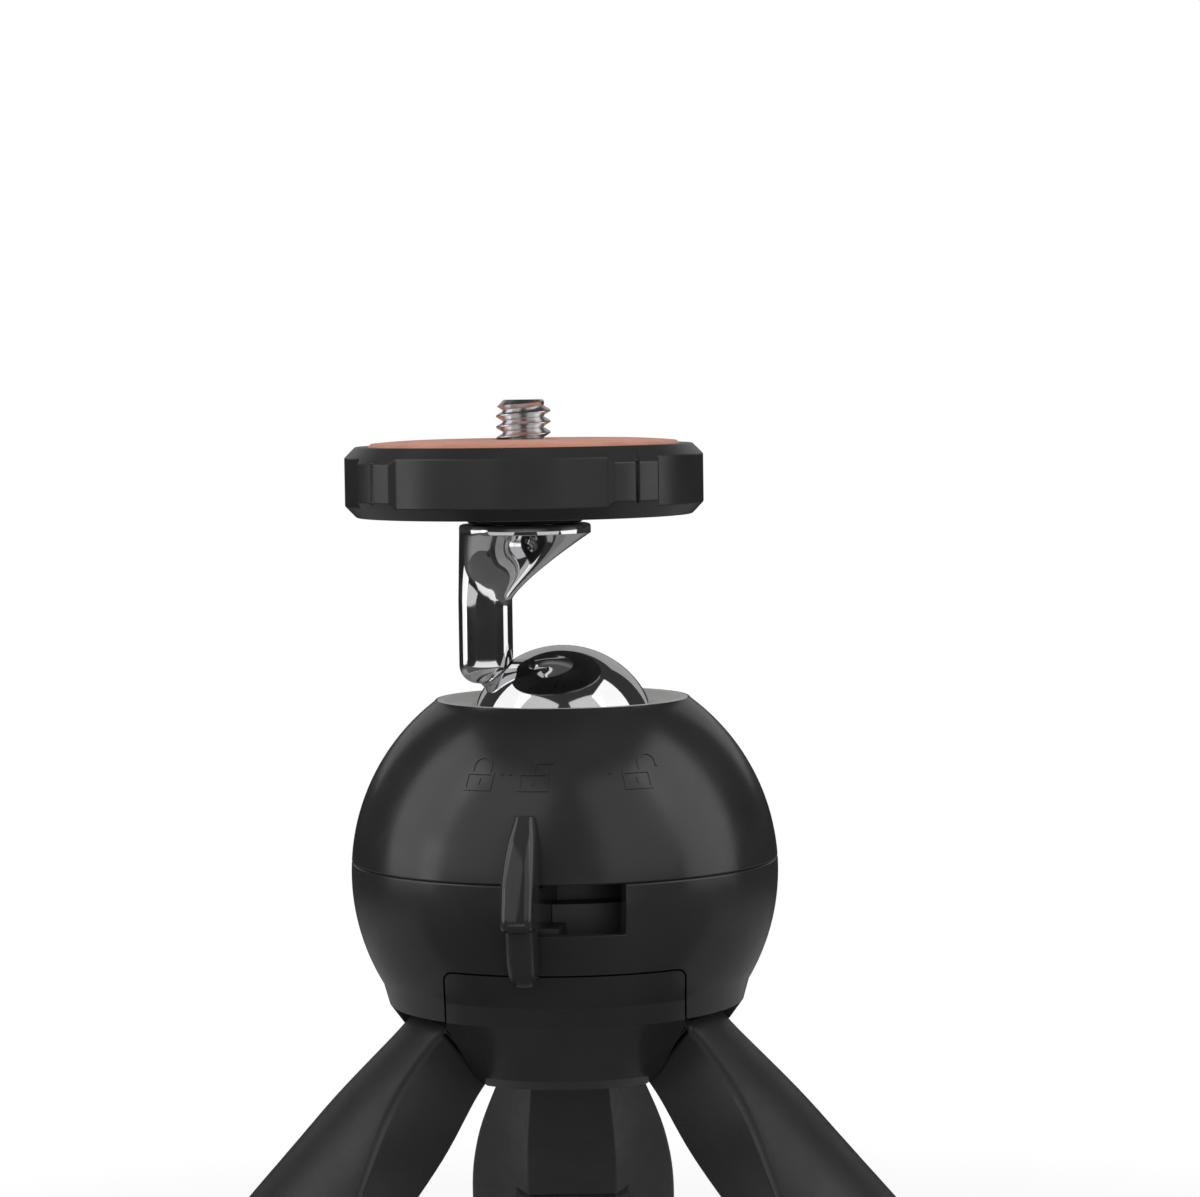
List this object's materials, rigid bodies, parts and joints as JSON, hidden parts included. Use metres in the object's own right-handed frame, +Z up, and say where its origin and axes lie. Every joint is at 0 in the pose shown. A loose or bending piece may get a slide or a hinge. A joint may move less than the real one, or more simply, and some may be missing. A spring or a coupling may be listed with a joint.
{
  "type": "camera tripod",
  "caption": "Small table-top tripod with folding legs, a lockable ball head and a round camera platform with a standard threaded screw.",
  "frame": {"origin": "on the floor, under the middle of the whole open tripod", "axes": "+Z up along the camera screw, -Y towards the front with the lock lever, +X to the right"},
  "size_m": [0.161, 0.1414, 0.1426],
  "materials": {
    "body_plastic": "satin black moulded plastic",
    "cover_plastic": "matte black moulded plastic",
    "lever_plastic": "glossy black moulded plastic",
    "socket_metal": "satin silver",
    "inner_plastic": "black acetal",
    "chrome": "polished chrome plate",
    "seat_plastic": "natural acetal",
    "steel": "zinc-plated steel",
    "washer_plastic": "natural nylon",
    "pad_rubber": "matte terracotta rubber",
    "foot_rubber": "matte black rubber"
  },
  "bodies": {
    "base": {"upper_shell": "body_plastic", "lower_shell": "body_plastic", "socket_ring": "socket_metal", "upper_ball_seat": "seat_plastic", "socket_housing": "inner_plastic", "leg_hub": "body_plastic", "hub_screws": "steel", "hinge_pin_1": "steel", "hinge_pin_2": "steel", "hinge_pin_3": "steel"},
    "lever": {"lock_lever": "lever_plastic", "cam_ring": "inner_plastic", "lever_screws": "steel"},
    "pusher": {"pusher": "inner_plastic", "disc_spring": "steel"},
    "seat": {"lower_ball_seat": "seat_plastic"},
    "ball": {"ball": "chrome"},
    "arm": {"arm": "chrome", "arm_stud": "steel", "pivot_washer": "steel", "pivot_screw": "steel"},
    "platform": {"platform": "body_plastic", "platform_pad": "pad_rubber", "camera_screw": "chrome", "platform_collar": "body_plastic", "friction_washer": "washer_plastic"},
    "leg_1": {"leg_1": "body_plastic", "leg_cover_1": "cover_plastic", "foot_1": "foot_rubber"},
    "leg_2": {"leg_2": "body_plastic", "leg_cover_2": "cover_plastic", "foot_2": "foot_rubber"},
    "leg_3": {"leg_3": "body_plastic", "leg_cover_3": "cover_plastic", "foot_3": "foot_rubber"}
  },
  "joints": [
    {"name": "lever_turn", "type": "hinge", "parent": "base", "child": "lever", "pos_m": [0, -0.01948, 0.08748], "axis": [0, 0, 1], "range_deg": [0, 21]},
    {"name": "pusher_lift", "type": "slide", "parent": "base", "child": "pusher", "axis": [0, 0, 1], "range_m": [-0.00035, 0]},
    {"name": "ball_pan", "type": "hinge", "parent": "base", "child": "seat", "pos_m": [0, -0.01948, 0.10273], "axis": [0, 0, 1], "continuous": true},
    {"name": "ball_tilt", "type": "hinge", "parent": "seat", "child": "ball", "pos_m": [0, -0.01948, 0.10273], "axis": [0, 1, 0], "range_deg": [0, 90]},
    {"name": "ball_spin", "type": "hinge", "parent": "ball", "child": "arm", "pos_m": [0, -0.01948, 0.10273], "axis": [-0.7071, 0, 0.7071], "continuous": true},
    {"name": "platform_turn", "type": "hinge", "parent": "arm", "child": "platform", "pos_m": [-0.0041, -0.01948, 0.12823], "axis": [0, 0, 1], "continuous": true},
    {"name": "leg_1_fold", "type": "hinge", "parent": "base", "child": "leg_1", "pos_m": [0.01013, -0.02533, 0.07248], "axis": [0.5, 0.866, 0], "range_deg": [0, 48]},
    {"name": "leg_2_fold", "type": "hinge", "parent": "base", "child": "leg_2", "pos_m": [0, -0.00778, 0.07248], "axis": [-1, 0, 0], "range_deg": [0, 48]},
    {"name": "leg_3_fold", "type": "hinge", "parent": "base", "child": "leg_3", "pos_m": [-0.01013, -0.02533, 0.07248], "axis": [0.5, -0.866, 0], "range_deg": [0, 48]}
  ],
  "couplings": [
    {"joint": "pusher_lift", "follows": "lever_turn", "m_per_rad": -0.00095493}
  ]
}
